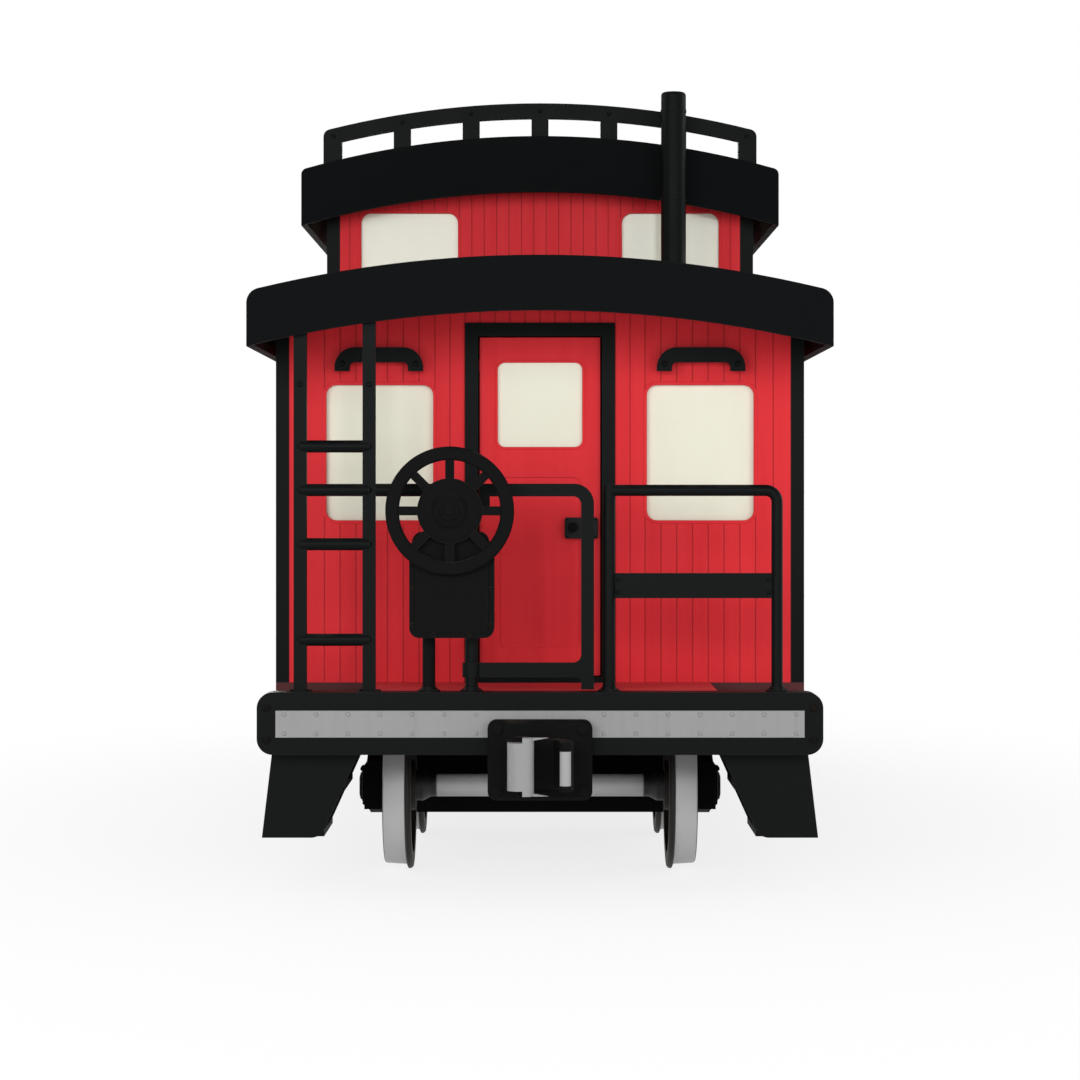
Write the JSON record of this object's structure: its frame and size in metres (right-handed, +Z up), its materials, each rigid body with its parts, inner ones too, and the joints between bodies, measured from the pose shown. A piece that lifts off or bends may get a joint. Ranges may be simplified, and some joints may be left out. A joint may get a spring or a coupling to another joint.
{
  "type": "caboose",
  "caption": "Railway caboose with a centre cupola, open end platforms, side steps, hand brakes and two four-wheel trucks.",
  "frame": {"origin": "middle of the car, on the plane under the wheel flanges", "axes": "+Y along the car to the front end, +X across to the right seen from behind, +Z up"},
  "size_m": [2.938, 10.3, 4.4448],
  "materials": {
    "black_paint": "satin",
    "cast_black": "matt",
    "deck_wood": "matt",
    "knuckle_grey": "worn",
    "red_paint": "satin",
    "roof_black": "matt",
    "sill_grey": "satin",
    "spring_steel": "satin",
    "wheel_steel": "worn",
    "window_glass": "glossy"
  },
  "bodies": {
    "carbody": {"centre_sills": "black_paint", "side_sills": "black_paint", "body_bolsters": "black_paint", "cross_members": "black_paint", "floor": "deck_wood", "end_sills": "black_paint", "sill_plates": "sill_grey", "side_walls": "red_paint", "end_walls": "red_paint", "corner_posts": "black_paint", "door_frames": "black_paint", "body_glass": "window_glass", "main_roof": "roof_black", "cupola_walls": "red_paint", "cupola_posts": "black_paint", "cupola_glass": "window_glass", "cupola_roof": "roof_black", "roof_rails": "black_paint", "stovepipe": "black_paint", "strikers": "cast_black", "couplers": "cast_black", "steps": "black_paint", "ladders": "black_paint", "railings": "black_paint", "grab_handles": "black_paint", "brake_stands": "cast_black", "air_reservoir": "black_paint", "brake_cylinder": "black_paint"},
    "truck_rear": {"side_frames_rear": "cast_black", "bolster_rear": "cast_black", "spring_plank_rear": "cast_black", "springs_rear": "spring_steel", "brake_beams_rear": "cast_black"},
    "truck_front": {"side_frames_front": "cast_black", "bolster_front": "cast_black", "spring_plank_front": "cast_black", "springs_front": "spring_steel", "brake_beams_front": "cast_black"},
    "wheelset_1": {"wheels_1": "wheel_steel", "axle_1": "wheel_steel"},
    "wheelset_2": {"wheels_2": "wheel_steel", "axle_2": "wheel_steel"},
    "wheelset_3": {"wheels_3": "wheel_steel", "axle_3": "wheel_steel"},
    "wheelset_4": {"wheels_4": "wheel_steel", "axle_4": "wheel_steel"},
    "end_door_rear": {"door_rear": "red_paint", "door_glass_rear": "window_glass"},
    "platform_gate_rear": {"gate_rear": "black_paint"},
    "hand_brake_wheel_rear": {"brake_wheel_rear": "cast_black"},
    "coupler_knuckle_rear": {"knuckle_rear": "knuckle_grey"},
    "end_door_front": {"door_front": "red_paint", "door_glass_front": "window_glass"},
    "platform_gate_front": {"gate_front": "black_paint"},
    "hand_brake_wheel_front": {"brake_wheel_front": "cast_black"},
    "coupler_knuckle_front": {"knuckle_front": "knuckle_grey"}
  },
  "joints": [
    {"name": "truck_swivel_rear", "type": "hinge", "parent": "carbody", "child": "truck_rear", "pos_m": [0, -2.712, 0.62], "axis": [0, 0, 1], "range_deg": [-5, 5]},
    {"name": "truck_swivel_front", "type": "hinge", "parent": "carbody", "child": "truck_front", "pos_m": [0, 2.712, 0.62], "axis": [0, 0, 1], "range_deg": [-5, 5]},
    {"name": "wheelset_1_turn", "type": "hinge", "parent": "truck_rear", "child": "wheelset_1", "pos_m": [0, -3.55, 0.444], "axis": [1, 0, 0], "continuous": true},
    {"name": "wheelset_2_turn", "type": "hinge", "parent": "truck_rear", "child": "wheelset_2", "pos_m": [0, -1.874, 0.444], "axis": [1, 0, 0], "continuous": true},
    {"name": "wheelset_3_turn", "type": "hinge", "parent": "truck_front", "child": "wheelset_3", "pos_m": [0, 1.874, 0.444], "axis": [1, 0, 0], "continuous": true},
    {"name": "wheelset_4_turn", "type": "hinge", "parent": "truck_front", "child": "wheelset_4", "pos_m": [0, 3.55, 0.444], "axis": [1, 0, 0], "continuous": true},
    {"name": "door_swing_rear", "type": "hinge", "parent": "carbody", "child": "end_door_rear", "pos_m": [-0.322, -3.8157, 1.98], "axis": [0, 0, 1], "range_deg": [0, 95]},
    {"name": "gate_swing_rear", "type": "hinge", "parent": "carbody", "child": "platform_gate_rear", "pos_m": [-0.344, -4.63, 1.6], "axis": [0, 0, 1], "range_deg": [0, 90]},
    {"name": "hand_brake_turn_rear", "type": "hinge", "parent": "carbody", "child": "hand_brake_wheel_rear", "pos_m": [-0.448, -4.785, 1.926], "axis": [0, 1, 0], "continuous": true},
    {"name": "knuckle_open_rear", "type": "hinge", "parent": "carbody", "child": "coupler_knuckle_rear", "pos_m": [-0.1, -5, 0.682], "axis": [0, 0, 1], "range_deg": [-45, 0]},
    {"name": "door_swing_front", "type": "hinge", "parent": "carbody", "child": "end_door_front", "pos_m": [0.322, 3.8157, 1.98], "axis": [0, 0, 1], "range_deg": [0, 95]},
    {"name": "gate_swing_front", "type": "hinge", "parent": "carbody", "child": "platform_gate_front", "pos_m": [0.344, 4.63, 1.6], "axis": [0, 0, 1], "range_deg": [0, 90]},
    {"name": "hand_brake_turn_front", "type": "hinge", "parent": "carbody", "child": "hand_brake_wheel_front", "pos_m": [0.448, 4.785, 1.926], "axis": [0, 1, 0], "continuous": true},
    {"name": "knuckle_open_front", "type": "hinge", "parent": "carbody", "child": "coupler_knuckle_front", "pos_m": [0.1, 5, 0.682], "axis": [0, 0, 1], "range_deg": [-45, 0]}
  ]
}
